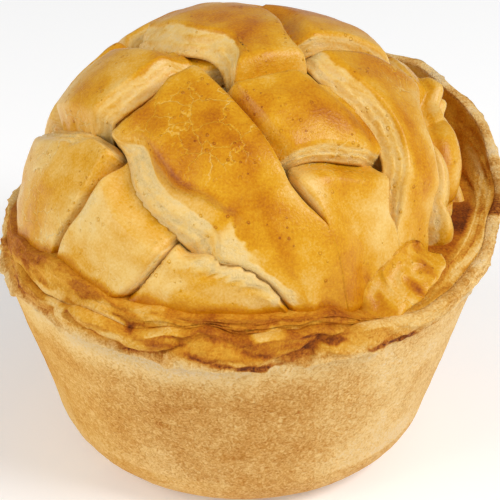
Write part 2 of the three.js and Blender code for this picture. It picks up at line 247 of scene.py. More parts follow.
def crimp_part(share, angle):
    ring = ring_at(angle)
    pinch = pinched(angle)
    front = rim_front(angle)
    left = hump(angle, 218, 40)
    rise, crease = rim_folds(angle, share)
    hang = max(0.0, 0.6 + 1.7 * lump(ring, 6, 2.8) + 0.5 * lump(ring, 2, 5.9))
    droop = pinch * hang * math.sin(math.pi * min(3 * share, 1))
    z = mix(WALL_TOP, lip_height(angle), share) - droop
    radius = mix(WALL_RADIUS, lip_radius(angle), math.sin(share * math.pi / 2))
    here = (ring[0], ring[1], 1.6 * z)
    stand = mix(0.1, 1.0, front) * rise + 0.35 * lump(here, 3, 4.4)
    stand += 0.4 * crag(here, 4, 8.1) ** 3 + 0.18 * lump(here, 1.1, 2.2)
    bake = 0.18 + (0.1 + 0.28 * pinch - 0.12 * left) * ease(share * 1.6)
    bake += 0.2 * lump(here, 6, 9.9) + 0.12 * lump(here, 1.8, 2.9)
    bake += crease * (0.24 + 0.24 * lump(here, 7, 6.1)) * ease(share * 3) * mix(0.5, 1, front)
    bake = mix(bake, 0.22, 0.6 * bared(angle) * ease(share * 2 - 0.6))
    glaze = (0.75 - 0.35 * left) * ease((share - 0.2) / 0.4) * pinch
    return radius + stand * ease(share * 6) + 0.5 * droop, z, crimp_tone(angle, z, bake), glaze


def lip_part(share, angle):
    pinch = pinched(angle)
    rise, crease = rim_folds(angle, 1 + 0.2 * share)
    swing = share * math.pi
    outer, inner = lip_radius(angle), inner_radius(angle)
    radius = (outer + inner) / 2 + (outer - inner) / 2 * math.cos(swing)
    radius += mix(0.1, 1.0, rim_front(angle)) * rise * (1 - 0.4 * share)
    z = lip_height(angle) + 0.4 * math.sin(swing) + 0.5 * rise * share * pinch
    bake = mix(0.24, 0.46, pinch) + 0.26 * lump(ring_at(angle), 5, 1.9) + 0.1 * crease * pinch
    bake = mix(bake + 0.45 * rim_spots(angle), 0.24, 0.7 * bared(angle))
    return radius, z, crimp_tone(angle, z, bake), 0.75 * pinch


def inside_part(share, angle):
    ring = ring_at(angle)
    pinch = pinched(angle)
    open_side = hump(angle, 350, 62)
    here = (ring[0], ring[1], 30 * share)
    rise, crease = rim_folds(angle, 1.2 + 0.5 * share)
    rise *= pinch * (1 - share ** 3)
    radius = mix(inner_radius(angle), LEDGE_RADIUS, ease(share)) + 0.6 * rise
    z = mix(lip_height(angle), seam_top(angle), share) + 0.5 * rise
    pleat = 0.7 * crag(here, 16, 2.7) ** 4 * (1 - pinch)
    rough = 0.5 * lump(here, 7, 3.7) + 0.3 * lump(here, 3, 6.9) + 0.35 * crag(here, 5, 4.9) ** 3
    rough *= mix(0.5, 1, pinch)
    bake = 0.36 + 0.12 * ease(share * 3) + 0.3 * lump((ring[0], ring[1], 14 * share), 13, 5.5)
    bake += 0.07 * lump(here, 3, 1.5)
    streak = (ring[0], ring[1] + 14 * share, 34 * share)
    streaks = 0.35 + 0.34 * lump(streak, 10, 5.5) + 0.24 * crag(streak, 11, 3.3) ** 4
    streaks += 0.1 * lump(here, 2.5, 1.5)
    bake = mix(bake, max(0.12, streaks), open_side)
    bake += 0.1 * pleat + 0.14 * hump(angle, 190, 40) - 0.04 * hump(angle, 335, 30) * (1 - share)
    seam = 0.2 * ease(share * 2 - 0.8) * (0.6 + 1.2 * lump(ring, 14, 3.3))
    bake += pinch * (seam + 0.18 * crease - 0.05)
    bake = min(bake, 0.64) + 0.25 * rim_spots(angle) * (1 - share) ** 3
    bake = crimp_tone(angle, z, mix(bake, 0.26, 0.85 * bared(angle) * (1 - share)))
    glaze = mix(1, 0.75, pinch) - 0.45 * open_side
    radius += (rough - pleat) * math.sin(math.pi * share)
    return radius, z + 0.4 * rough * pinch * share, bake, glaze


# Browning of the seam where the lid meets the ledge. Round 345 degrees the seam is painted darker as painted
# shade, over the patch of ledge that the key light reaches between the lobes and the collar.
def seam_bake_and_shade(angle):
    ring = ring_at(angle)
    return 0.54 + 0.3 * lump(ring, 11, 8.8) + 0.1 * lump(ring, 2, 4.1) + 0.2 * hump(angle, 345, 25)


def ledge_part(share, angle):
    core_radius, _ = dome_profile(LID_REACH, angle)
    z = seam_top(angle)
    return mix(LEDGE_RADIUS, core_radius, share), z, crimp_tone(angle, z, seam_bake_and_shade(angle)), 0.8


def core_part(share, angle):
    radius, z = dome_profile(LID_REACH * (1 - share), angle)
    ledge = seam_top(angle)
    bake = mix(seam_bake_and_shade(angle), 0.15, ease((z - ledge - 2) / 3))
    return radius, max(z, ledge + CORE_CLIMB * share), bake, 1.0


OUTER_PARTS = ((foot_part, 4), (heel_part, 10), (wall_part, 46), (crimp_part, 30), (lip_part, 10))
INNER_PARTS = ((inside_part, 20), (ledge_part, 8), (core_part, 18))
OUTER_ROWS = sum(rows for _, rows in OUTER_PARTS)
CASE_ROWS = OUTER_ROWS + sum(rows for _, rows in INNER_PARTS)


def case_place(row, angle):
    """Radius, height, browning and glaze of the case at one row of its section."""
    for part, rows in OUTER_PARTS + INNER_PARTS:
        if row <= rows:
            break
        row -= rows
    return part(row / rows, angle)


case_mesh = bmesh.new()
case_bake = case_mesh.verts.layers.float.new("bake")
case_glaze = case_mesh.verts.layers.float.new("glaze")
bmesh.ops.create_grid(case_mesh, x_segments=CASE_COLUMNS, y_segments=CASE_ROWS, size=1)
for vert in case_mesh.verts:
    angle = math.pi * vert.co.x
    row = round((vert.co.y + 1) / 2 * CASE_ROWS)
    radius, height, bake, glaze = case_place(row, angle)
    here = (radius * math.cos(angle), radius * math.sin(angle), height)
    if 0 < height and row < OUTER_ROWS:
        swell = 0.32 * lump(here, 17, 1.1) + 0.16 * lump(here, 5, 2.5) + 0.07 * lump(here, 1.8, 6.6)
        radius += swell * ease(height / 4)
    vert.co = Vector((radius * math.cos(angle), radius * math.sin(angle), height)) * MM
    vert[case_bake] = bake
    vert[case_glaze] = glaze


def finish_mesh(name, mesh, material):
    """The shaped mesh, closed and smooth, as a piece that is part of the pie."""
    bmesh.ops.remove_doubles(mesh, verts=mesh.verts, dist=2e-6)
    bmesh.ops.recalc_face_normals(mesh, faces=mesh.faces)
    for face in mesh.faces:
        face.smooth = True
    data = bpy.data.meshes.new(name)
    mesh.to_mesh(data)
    mesh.free()
    data.materials.append(material)
    piece = bpy.data.objects.new(name, data)
    bpy.context.scene.collection.objects.link(piece)
    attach(piece, "root")
    return piece


def add_node(tree, kind, spot, **values):
    node = tree.nodes.new(kind)
    node.location = spot
    for name, value in values.items():
        if hasattr(node, name):
            setattr(node, name, value)
        else:
            node.inputs[name.replace("_", " ")].default_value = value
    return node


# Browning of pastry: pale dough turns gold, then brown, then burnt as its oven heat rises. A few bake values
# are painted light and painted shade.
# Crumb and patches mottle it, small blisters brown on top, and fine cracks in the glaze stay pale.
browning = bpy.data.node_groups.new("pastry_browning", "ShaderNodeTree")
for socket in ("Bake", "Craze", "Glaze", "Mottle", "Crumb Size", "Crumb", "Speck", "Blisters", "Cracks"):
    browning.interface.new_socket(socket, in_out="INPUT", socket_type="NodeSocketFloat")
browning.interface.new_socket("Color", in_out="OUTPUT", socket_type="NodeSocketColor")
browning.interface.new_socket("Height", in_out="OUTPUT", socket_type="NodeSocketFloat")
links = browning.links
crust_in = add_node(browning, "NodeGroupInput", (-1600, 0)).outputs
crust_out = add_node(browning, "NodeGroupOutput", (900, 0)).inputs
place = add_node(browning, "ShaderNodeTexCoord", (-1600, -300)).outputs["Object"]


def sums(spot, operation, first, second, third=None):
    """A Math node of the browning on sockets or plain numbers."""
    node = add_node(browning, "ShaderNodeMath", spot, operation=operation)
    for socket, value in zip(node.inputs, (first, second, third)):
        if isinstance(value, bpy.types.NodeSocket):
            links.new(value, socket)
        elif value is not None:
            socket.default_value = value
    return node.outputs[0]


def soft_step(spot, value, start, stop):
    """0 at start and 1 at stop, eased between them."""
    node = add_node(browning, "ShaderNodeMapRange", spot, interpolation_type="SMOOTHSTEP")
    links.new(value, node.inputs["Value"])
    node.inputs["From Min"].default_value = start
    node.inputs["From Max"].default_value = stop
    return node.outputs["Result"]


def texture(kind, spot, vector, **values):
    node = add_node(browning, kind, spot, **values)
    links.new(vector, node.inputs["Vector"])
    return node


patches = texture("ShaderNodeTexNoise", (-1300, 400), place,
                  Scale=110.0, Detail=5.0, Roughness=0.62, Distortion=0.4)
patch_lift = sums((-1150, 400), "SUBTRACT", patches.outputs["Fac"], 0.5)
patch_tone = sums((-1000, 400), "MULTIPLY", patch_lift, crust_in["Mottle"])
dryness = sums((-1300, -80), "MULTIPLY_ADD", crust_in["Glaze"], -0.65, 1.0)
crumb = texture("ShaderNodeTexNoise", (-1300, 100), place, Detail=4.0, Roughness=0.6, Distortion=1.6)
links.new(crust_in["Crumb Size"], crumb.inputs["Scale"])
crumb_amount = sums((-1150, -20), "MULTIPLY", crust_in["Crumb"], dryness)
crumb_lift = sums((-1150, 100), "SUBTRACT", crumb.outputs["Fac"], 0.5)
crumb_tone = sums((-1000, 100), "MULTIPLY", crumb_lift, crumb_amount)
speck = texture("ShaderNodeTexNoise", (-1300, -1400), place, Scale=2400.0, Detail=2.0, Roughness=0.6)
speck_amount = sums((-1150, -120), "MULTIPLY", crust_in["Speck"], dryness)
speck_lift = sums((-1000, -1400), "SUBTRACT", speck.outputs["Fac"], 0.5)

bubble = texture("ShaderNodeTexVoronoi", (-1300, -300), place, Scale=900.0)
bubble_pick = add_node(browning, "ShaderNodeSeparateColor", (-1100, -450))
links.new(bubble.outputs["Color"], bubble_pick.inputs["Color"])
herd = texture("ShaderNodeTexNoise", (-1300, -600), place, Scale=150.0, Detail=2.0)
in_herd = soft_step((-1000, -650), herd.outputs["Fac"], 0.44, 0.58)
picked = soft_step((-1000, -450), bubble_pick.outputs["Red"], 0.45, 0.75)
chosen = sums((-900, -500), "MULTIPLY", picked, in_herd)
bubble_size = sums((-1000, -250), "MULTIPLY_ADD", bubble_pick.outputs["Green"], 0.55, 0.36)
bubble_away = sums((-1000, -350), "MULTIPLY_ADD", crumb.outputs["Fac"], 0.3, bubble.outputs["Distance"])
bubble_reach = sums((-950, -300), "DIVIDE", bubble_away, bubble_size)
bubble_core = soft_step((-900, -200), bubble_reach, 0.46, 0.26)
bubble_mask = sums((-700, -400), "MULTIPLY", chosen, soft_step((-900, -300), bubble_reach, 0.6, 0.46))
bubble_mask = sums((-550, -400), "MULTIPLY", bubble_mask, crust_in["Blisters"])
bubble_ring = sums((-400, -400), "MULTIPLY", bubble_mask, sums((-550, -250), "SUBTRACT", 1.0, bubble_core))

wander = texture("ShaderNodeTexNoise", (-1500, -900), place, Scale=260.0, Detail=3.0)
shift = add_node(browning, "ShaderNodeVectorMath", (-1300, -900), operation="MULTIPLY_ADD")
links.new(wander.outputs["Color"], shift.inputs[0])
shift.inputs[1].default_value = (0.006, 0.006, 0.006)
links.new(place, shift.inputs[2])
web = texture("ShaderNodeTexVoronoi", (-1100, -900), shift.outputs[0],
              feature="DISTANCE_TO_EDGE", Scale=210.0)
web_area = texture("ShaderNodeTexNoise", (-1100, -1150), place, Scale=48.0, Detail=1.0)
crazed = sums((-1000, -1250), "MULTIPLY_ADD", crust_in["Craze"], 0.22, web_area.outputs["Fac"])
crack_line = soft_step((-900, -900), web.outputs["Distance"], 0.04, 0.0)
crack_mask = sums((-700, -900), "MULTIPLY", crack_line, soft_step((-900, -1150), crazed, 0.58, 0.7))
crack_mask = sums((-550, -900), "MULTIPLY", crack_mask, crust_in["Cracks"])

raw = soft_step((-1000, -1600), crust_in["Bake"], 0.2, 0.05)
fibre = texture("ShaderNodeTexNoise", (-1300, -1700), place, Scale=1300.0, Detail=4.0, Roughness=0.7)
fibre_lift = sums((-1000, -1750), "SUBTRACT", fibre.outputs["Fac"], 0.5)
fibre_tone = sums((-850, -1650), "MULTIPLY", fibre_lift, raw)

tone = sums((-400, 300), "ADD", crust_in["Bake"], patch_tone)
tone = sums((-250, 250), "ADD", tone, crumb_tone)
tone = sums((-100, 200), "MULTIPLY_ADD", bubble_ring, 0.15, tone)
tone = sums((50, 150), "MULTIPLY_ADD", crack_mask, -0.16, tone)
tone = sums((150, 100), "MULTIPLY_ADD", speck_lift, speck_amount, tone)
tone = sums((200, 50), "MULTIPLY_ADD", fibre_tone, 0.3, tone)


def heat_ramp(spot, colours):
    """Colours of pastry from raw to burnt."""
    node = add_node(browning, "ShaderNodeValToRGB", spot)
    stops = node.color_ramp.elements
    stops[0].position, stops[0].color = 0.0, (*colours[0][1], 1)
    stops[1].position, stops[1].color = 1.0, (0.040, 0.011, 0.003, 1)
    for position, colour in colours[1:]:
        stops.new(position).color = (*colour, 1)
    links.new(tone, node.inputs["Fac"])
    return node.outputs["Color"]


glazed = heat_ramp((250, 300), (
    (0.0, (0.78, 0.55, 0.19)),
    (0.06, (0.82, 0.59, 0.25)),
    (0.2, (0.80, 0.52, 0.15)),
    (0.4, (0.69, 0.33, 0.010)),
    (0.55, (0.56, 0.205, 0.002)),
    (0.7, (0.38, 0.095, 0.002)),
    (0.85, (0.17, 0.036, 0.002)),
))
dry = heat_ramp((250, 50), (
    (0.0, (0.84, 0.62, 0.34)),
    (0.2, (0.84, 0.56, 0.215)),
    (0.4, (0.66, 0.345, 0.085)),
    (0.55, (0.52, 0.220, 0.030)),
    (0.7, (0.39, 0.115, 0.010)),
    (0.85, (0.19, 0.042, 0.004)),
))
finish = add_node(browning, "ShaderNodeMix", (600, 150), data_type="RGBA")
links.new(crust_in["Glaze"], finish.inputs[0])
links.new(dry, finish.inputs[6])
links.new(glazed, finish.inputs[7])
links.new(finish.outputs[2], crust_out["Color"])
grain = sums((-50, -300), "MULTIPLY", crumb.outputs["Fac"], crumb_amount)
grain = sums((100, -300), "MULTIPLY_ADD", bubble_mask, 0.8, grain)
grain = sums((200, -350), "MULTIPLY_ADD", crack_mask, -0.3, grain)
grain = sums((350, -400), "MULTIPLY_ADD", speck.outputs["Fac"], speck_amount, grain)
grain = sums((500, -450), "MULTIPLY_ADD", fibre_tone, 2.0, grain)
links.new(grain, crust_out["Height"])


def pastry_material(name, roughness, gloss, bump, **amounts):
    """A pastry finish whose browning, glaze and crazing follow the piece's own attributes."""
    material = bpy.data.materials.new(name)
    material.use_nodes = True
    tree = material.node_tree
    shader = tree.nodes["Principled BSDF"]
    shader.inputs["Roughness"].default_value = roughness
    shader.inputs["Specular IOR Level"].default_value = gloss
    crust = add_node(tree, "ShaderNodeGroup", (-450, 200), node_tree=browning)
    for socket, value in amounts.items():
        crust.inputs[socket.replace("_", " ")].default_value = value
    for height, socket in ((200, "Bake"), (400, "Glaze"), (0, "Craze")):
        own = add_node(tree, "ShaderNodeAttribute", (-700, height), attribute_name=socket.lower())
        tree.links.new(own.outputs["Fac"], crust.inputs[socket])
    relief = add_node(tree, "ShaderNodeBump", (-200, -200), Strength=bump, Distance=0.0005)
    tree.links.new(crust.outputs["Color"], shader.inputs["Base Color"])
    tree.links.new(crust.outputs["Height"], relief.inputs["Height"])
    tree.links.new(relief.outputs["Normal"], shader.inputs["Normal"])
    return material


case_crust = pastry_material("case_crust", 0.7, 0.16, 0.9, Mottle=0.5, Crumb_Size=1000.0, Crumb=0.8,
                             Speck=0.5, Blisters=0.0, Cracks=0.0)
pastry_case = finish_mesh("pastry_case_baked", case_mesh, case_crust)
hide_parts("pastry_case")

# Woven lid strips
# The lid is cut from rolled pastry as strips about 20 mm wide, woven over and under each other
# across the dome and brushed with egg. Each puffs in the oven, so its cut sides show pale layers
# below the browned glaze, and its ends are tucked down behind the collar.
A_NORMAL = math.radians(35)
B_NORMAL = math.radians(-68)
A_STRIPS = ((-50.8, 31.2), (-23.6, 22), (-2.9, 18.3), (15.1, 16.2), (33.2, 18.6), (54.6, 22.8))
B_STRIPS = ((24.5, 20), (-5, 22), (-32.3, 19.5), (-56, 17))
TUCKED_END = 19.0
LOBE_LEVEL = 0.3
LOW_END_LEVEL = 0.8
UNDER_FLAP_LEVEL = 0.35
EASE_RUN = 5.0
EASE_LEVEL = 0.3
RISE_RUN = 3.0
RISE_LEVEL = 0.45
TUCK = 1.2
RIM_LEVEL = 0.9
GAP_LEVEL = 0.8
SLIP = 4.0
FIRST_SLIP = 1.2
FIRST_EARLY = 1.4
LATE_SLIP = 2.6
SKEW = math.sin(B_NORMAL - A_NORMAL)
END_STEPS = 40
END_SPREAD = 1.02
END_ROUND = 3.0
EDGE_ROUND = 1.3
EDGE_SPREAD = 1.015
CORNER_SHARE = 0.4
CORNER_SWING = math.radians(65)
SHEET_LENGTHS = 170
SHEET_WIDTHS = 72


def plan_of(p, q):
    """Plan place of weave coordinates: p counts across the A strips and q across the B strips."""
    x = (p * math.sin(B_NORMAL) - q * math.sin(A_NORMAL)) / SKEW
    y = (q * math.cos(A_NORMAL) - p * math.cos(B_NORMAL)) / SKEW
    return x, y


def swell_at(place, centre, half):
    """1 at a centre, easing to 0 a half width away from it."""
    return 0.5 + 0.5 * math.cos(math.pi * min(abs(place - centre) / half, 1))


def laid_plan(p, q):
    """Plan place of weave coordinates where strips laid by hand bend, taper and wander."""
    bend = 12 * ease((q - 38) / 22) * swell_at(p, -35, 21)
    bend -= 3.2 * ease((q - 10) / 14) * swell_at(p, -35, 13)
    bend += 4 * ease((q - 36) / 12) * swell_at(p, -9, 14)
    bend += (2.8 * swell_at(q, -10, 17) - 2.6 * swell_at(q, 13, 13)) * swell_at(p, 4, 24)
    bend += mix(9, 2, ease((q - 7) / 20)) * swell_at(p, 23, 20)
    bend += 3.6 * ease((q - 2) / 30) * swell_at(p, 8, 11)
    drift = 5 * swell_at(q, 36, 17) * swell_at(p, -44, 28)
    drift += 2.5 * swell_at(q, 14, 11) * swell_at(p, -46, 26)
    x, y = plan_of(p + bend, q + drift)
    return (
        x + 0.7 * math.sin(0.17 * x + 0.11 * y + 0.6) + 0.4 * math.sin(0.29 * y - 0.16 * x),
        y + 0.7 * math.sin(0.15 * y - 0.12 * x + 1.9) + 0.4 * math.sin(0.33 * x + 0.1 * y),
    )


def dome_point(x, y, lift):
    """A place on the pie over a plan place, raised off the core that the strips lie on."""
    reach = min(math.hypot(x, y), LID_REACH + 1.5)
    bearing = math.atan2(y, x)
    r0, z0 = dome_profile(reach, bearing)
    r1, z1 = dome_profile(reach + 0.02, bearing)
    run = math.hypot(r1 - r0, z1 - z0)
    r = r0 - lift * (z1 - z0) / run
    z = z0 + lift * (r1 - r0) / run
    return Vector((r * math.cos(bearing), r * math.sin(bearing), z)) * MM


def lid_edge(bearing):
    return LID_REACH - 1.05 * (ledge_top(bearing) - 0.4 - LID_BASE)


def strip_end(across, side, is_a):
    """Where a line along a strip meets the edge of the lid, found by halving."""
    inside, outside = 0.0, 100.0
    for _ in range(13):
        along = (inside + outside) / 2
        x, y = laid_plan(across, side * along) if is_a else laid_plan(side * along, across)
        if math.hypot(x, y) < lid_edge(math.atan2(y, x)):
            inside = along
        else:
            outside = along
    return side * inside


def a_is_over(a, b):
    return (a + b) % 2 == 1


def crosses(a, b):
    """Each A strip crosses each B strip, but the front B strip ends tucked under the fourth A strip."""
    return b > 0 or a < 4


def front_level(a, p):
    """How high an A strip rides past the last B strip, towards the front rim."""
    if a == 0:
        return LOW_END_LEVEL
    if a > 3:
        return LOBE_LEVEL
    return mix(RIM_LEVEL, UNDER_FLAP_LEVEL, ease((p + 13) / 9))


def level_of_a(a, p, q):
    """How high an A strip rides: 0 on the core and 1 on a B strip, changing in the gaps between those."""
    slip = FIRST_SLIP if a == 0 else SLIP
    early = FIRST_EARLY if a == 0 else 0.0
    bands = sorted(
        (middle - width / 2, middle + width / 2, float(a_is_over(a, b)))
        for b, (middle, width) in enumerate(B_STRIPS) if crosses(a, b)
    )
    if q <= bands[0][0]:
        return mix(bands[0][2], RIM_LEVEL, ease((bands[0][0] - q) / SLIP))
    if q >= bands[-1][1] - early:
        beyond = q - bands[-1][1] + early
        near = mix(bands[-1][2], GAP_LEVEL if a < 4 else LOBE_LEVEL, ease(beyond / slip))
        return mix(near, front_level(a, p), ease((beyond - 1) / 9))
    for (low, high, level), (next_low, _, next_level) in zip(bands, bands[1:]):
        if low <= q <= high:
            return level
        if high < q < next_low:
            late = 0.4 * (SLIP - slip) + (0.8 + 1.8 * ease((-19 - p) / 6)) * (a == 1)
            rise = ease((q - high - late) / (LATE_SLIP if a == 1 else slip)) if level < 0.5 else 1.0
            fall = ease((next_low - q) / slip) if next_level < 0.5 else 1.0
            return mix(level, mix(next_level, GAP_LEVEL if level < 0.5 > next_level else 1, fall), rise)
    return bands[-1][2]


def level_of_b(b, p):
    """How high a B strip rides. The A strips lie side by side, so it dips near their edges."""
    for a, (middle, width) in enumerate(A_STRIPS):
        inside = width / 2 - abs(p - middle)
        if inside < 0:
            continue
        if a_is_over(a, b):
            return mix(EASE_LEVEL, 0, ease(inside / TUCK))
        if p < middle:
            return mix(RISE_LEVEL, 1, ease(inside / RISE_RUN))
        return mix(EASE_LEVEL, 1, ease(inside / EASE_RUN))
    return mix(EASE_LEVEL, RIM_LEVEL, ease((-p - 64) / 5))


def underside(level):
    return STRIP_GAP + level * (STRIP_THICK + STRIP_GAP)


def strip_at(strips, place):
    for index, (middle, width) in enumerate(strips):
        if abs(place - middle) <= width / 2:
            return index, (place - middle) / (width / 2)
    return -1, 0.0


def strip_faces(family, index, p, q):
    """Heights off the core of a strip's underside and of a strip over it, and how much it swells there."""
    if family == "a":
        low = underside(level_of_a(index, p, q))
        other, across = strip_at(B_STRIPS, q)
        meets = other >= 0 and crosses(index, other)
        if index == 0 and q > B_STRIPS[0][0] + B_STRIPS[0][1] / 2 - FIRST_EARLY:
            meets = False
        over = meets and a_is_over(index, other)
        cover = underside(level_of_b(other, p)) if meets and not over else None
    else:
        low = underside(level_of_b(index, p))
        other, across = strip_at(A_STRIPS, p)
        meets = other >= 0 and crosses(other, index)
        over = meets and not a_is_over(other, index)
        cover = underside(level_of_a(other, p, q)) if meets and not over else None
    return low, cover, 1 - across ** 2 if over else 0.0


def fusing(edge, along):
    """1 where the edges of two strips baked into one surface, low on the front right."""
    if edge in (("a", 1, 1), ("a", 2, -1)):
        return ease((along - 41) / 7)
    if edge in (("a", 2, 1), ("a", 3, -1)):
        return ease((along - 43) / 4)
    return 0.0


def splitting(edge, along):
    """1 where the first two A strips tore apart in the oven, along one ragged crack."""
    return ease((along - 36) / 5) if edge in (("a", 1, -1), ("a", 0, 1)) else 0.0


def cut_run(edge, along):
    """How wide a strip's sloping cut side is, in mm. The puffed strips show wide layered sides in places."""
    if edge == ("a", 0, 1):
        return 0.8 + 2.2 * ease((8 - along) / 6)
    if edge == ("a", 1, -1):
        return 0.8 + 4.6 * ease((along - 12) / 8) * (1 - 0.55 * ease((along - 38) / 6))
    if edge == ("a", 2, -1):
        return 0.8 + 3.4 * ease((16 - along) / 6)
    if edge == ("a", 3, -1):
        return 0.8 + 2.5 * swell_at(along, 26, 26) ** 0.5
    if edge == ("b", 0, 1):
        return 1.8
    if edge == ("b", 1, 1):
        return 0.8 + 2.2 * ease((-8 - along) / 6)
    if edge[0] == "a" and edge[1] > 3:
        return 0.8 + 1.4 * ease((along - 10) / 10)
    return 0.8


def overlap(edge, along):
    """How far a strip's edge is baked over its neighbour's, in mm."""
    if edge == ("a", 0, 1):
        return 3.4 * splitting(edge, along)
    if edge == ("a", 1, -1):
        return 1.2 * swell_at(along, 25, 14)
    if edge == ("a", 1, 1) and along < 36:
        return 0.25 + 1.4 * swell_at(along, 24, 12)
    if edge == ("a", 2, -1) and along < 20:
        return 0.25 - 4.6 * swell_at(along, 8, 12)
    return 0.25 + 0.2 * fusing(edge, along) if edge[0] == "a" else 0.0


def section(s, fused, run, lap, half):
    """A place across a strip: its share of the half width, its height share, its share of the cut
    side, and the mm that it lies in from that side."""
    side = math.copysign(1, s)
    s = abs(s)
    start = EDGE_SPREAD + (lap - (EDGE_ROUND + run) * (1 - fused)) / half
    if s < 0.5:
        return side * start * s / 0.5, 1.0, 0.0, start * half * (1 - s / 0.5)
    share = (s - 0.5) / 0.5
    swing = min(share / CORNER_SHARE, 1) * CORNER_SWING
    fall = max(0.0, (share - CORNER_SHARE) / (1 - CORNER_SHARE))
    out = mix(EDGE_ROUND * math.sin(swing), EDGE_ROUND + run, fall)
    drop = mix(EDGE_ROUND * (1 - math.cos(swing)), STRIP_THICK, fall)
    return side * (start + out * (1 - fused) / half), 1 - drop / STRIP_THICK, share, 0.0


# Folded lobes low on the right: p, q, half sizes along both, stand and browning.
LID_LOBES = (
    (27.5, 31, 6.5, 7, 2.6, 0.3), (36.5, 21, 6, 11, 4.0, 0.4), (28, 40.5, 7.5, 4.8, 2.6, 0.32),
    (46, 30, 7, 9, 3.0, 0.3), (40, 41, 8, 6, 2.2, 0.35), (34, 10, 5, 7.5, 3.4, 0.22),
    (41, 12, 4, 7, 3.6, 0.28),
)


def lid_lobe(p, q):
    """How far the lobes stand out, and the browning of the one that is on top."""
    best, bake = 0.0, 0.3
    for at_p, at_q, half_p, half_q, stand, tone in LID_LOBES:
        away = ((p - at_p) / half_p) ** 2 + ((q - at_q) / half_q) ** 2
        if away < 1 and stand * (1 - away) ** 0.5 > best:
            best = stand * (1 - away) ** 0.5
            bake = mix(tone, 0.5, away ** 4)
    return best, bake


def cut_layers(along, up, down, run, seed):
    """The torn layers of a cut side: 1 past the glaze's edge, how far they stand out, and their tone."""
    glaze_edge = CORNER_SHARE - 0.1 + 0.08 * lump((along, 5 * down, seed), 4, seed)
    glaze_edge += 0.08 * lump((along, 0, seed), 1.5, seed)
    layers = math.sin(22 * up + 2.5 * lump((along, 0, seed), 9) + 1.2 * lump((along, 9 * up, seed), 3))
    torn = math.sin(math.pi * min(up / 0.9, 1)) * min(1.0, 0.4 + run / 3)
    flakes = 0.4 * lump((along, 16 * up, seed), 3, seed) + 0.4 * lump((along, 30 * up, seed), 1.1, seed + 5)
    tone = 0.1 * lump((along, 16 * up, 0), 3, seed + 1) + 0.14 * lump((along, 30 * up, 0), 1.1, seed + 6)
    return ease((down - glaze_edge) / 0.12), 0.8 * torn * (flakes + 0.22 * layers), tone + 0.045 * layers


def rim_brown(place, plan):
    """1 where the glaze browned just above the pinched pastry edge."""
    bearing = math.atan2(place.y, place.x)
    above = place.z / MM - seam_top(bearing)
    return ease(1.2 - above / (1.6 + 1.4 * lump(plan, 5, 9.4))) * pinched(bearing)


def side_bake(place, tone, pale, brown):
    """Browning of a cut side, a little paler low on the lid."""
    return mix(0.2, 0.17, ease((62 - place.z / MM) / 12)) - 0.08 * pale + tone + 0.3 * brown


# Darker and lighter patches that the oven left on the lid: p, q and how much.
OVEN_TONES = (
    (-3, 25, -0.06), (-48, 28, -0.06), (-42, 22, -0.05), (0, 42, -0.02), (-41, 47, 0.05), (-18, 47, 0.07),
    (-24, -4, -0.09), (-52, 4, 0.08), (-60, 8, 0.08), (-20, 22, 0.03), (-29, 24, 0.09), (-27, 36, 0.07),
    (18, 40, 0.09), (2, 52, -0.05), (16, -16, 0.07), (-2, -34, 0.08), (24, -14, 0.08), (-8, 57, 0.28),
    (-54, 36, 0.08), (26, -38, -0.04), (14, 2, -0.06),
)


def oven_tone(p, q):
    return sum(by * math.exp(-((p - at_p) ** 2 + (q - at_q) ** 2) / 90) for at_p, at_q, by in OVEN_TONES)


def two_sheets():
    """A flat sheet and an equal one below it, with the values that browning, crazing and glaze need."""
    mesh = bmesh.new()
    for layer in ("bake", "craze", "glaze"):
        mesh.verts.layers.float.new(layer)
    mesh.verts.layers.int.new("below")
    bmesh.ops.create_grid(mesh, x_segments=SHEET_LENGTHS, y_segments=SHEET_WIDTHS, size=1)
    copied = bmesh.ops.duplicate(mesh, geom=mesh.verts[:] + mesh.edges[:] + mesh.faces[:])
    below = mesh.verts.layers.int["below"]
    for item in copied["geom"]:
        if isinstance(item, bmesh.types.BMVert):
            item[below] = 1
    return mesh


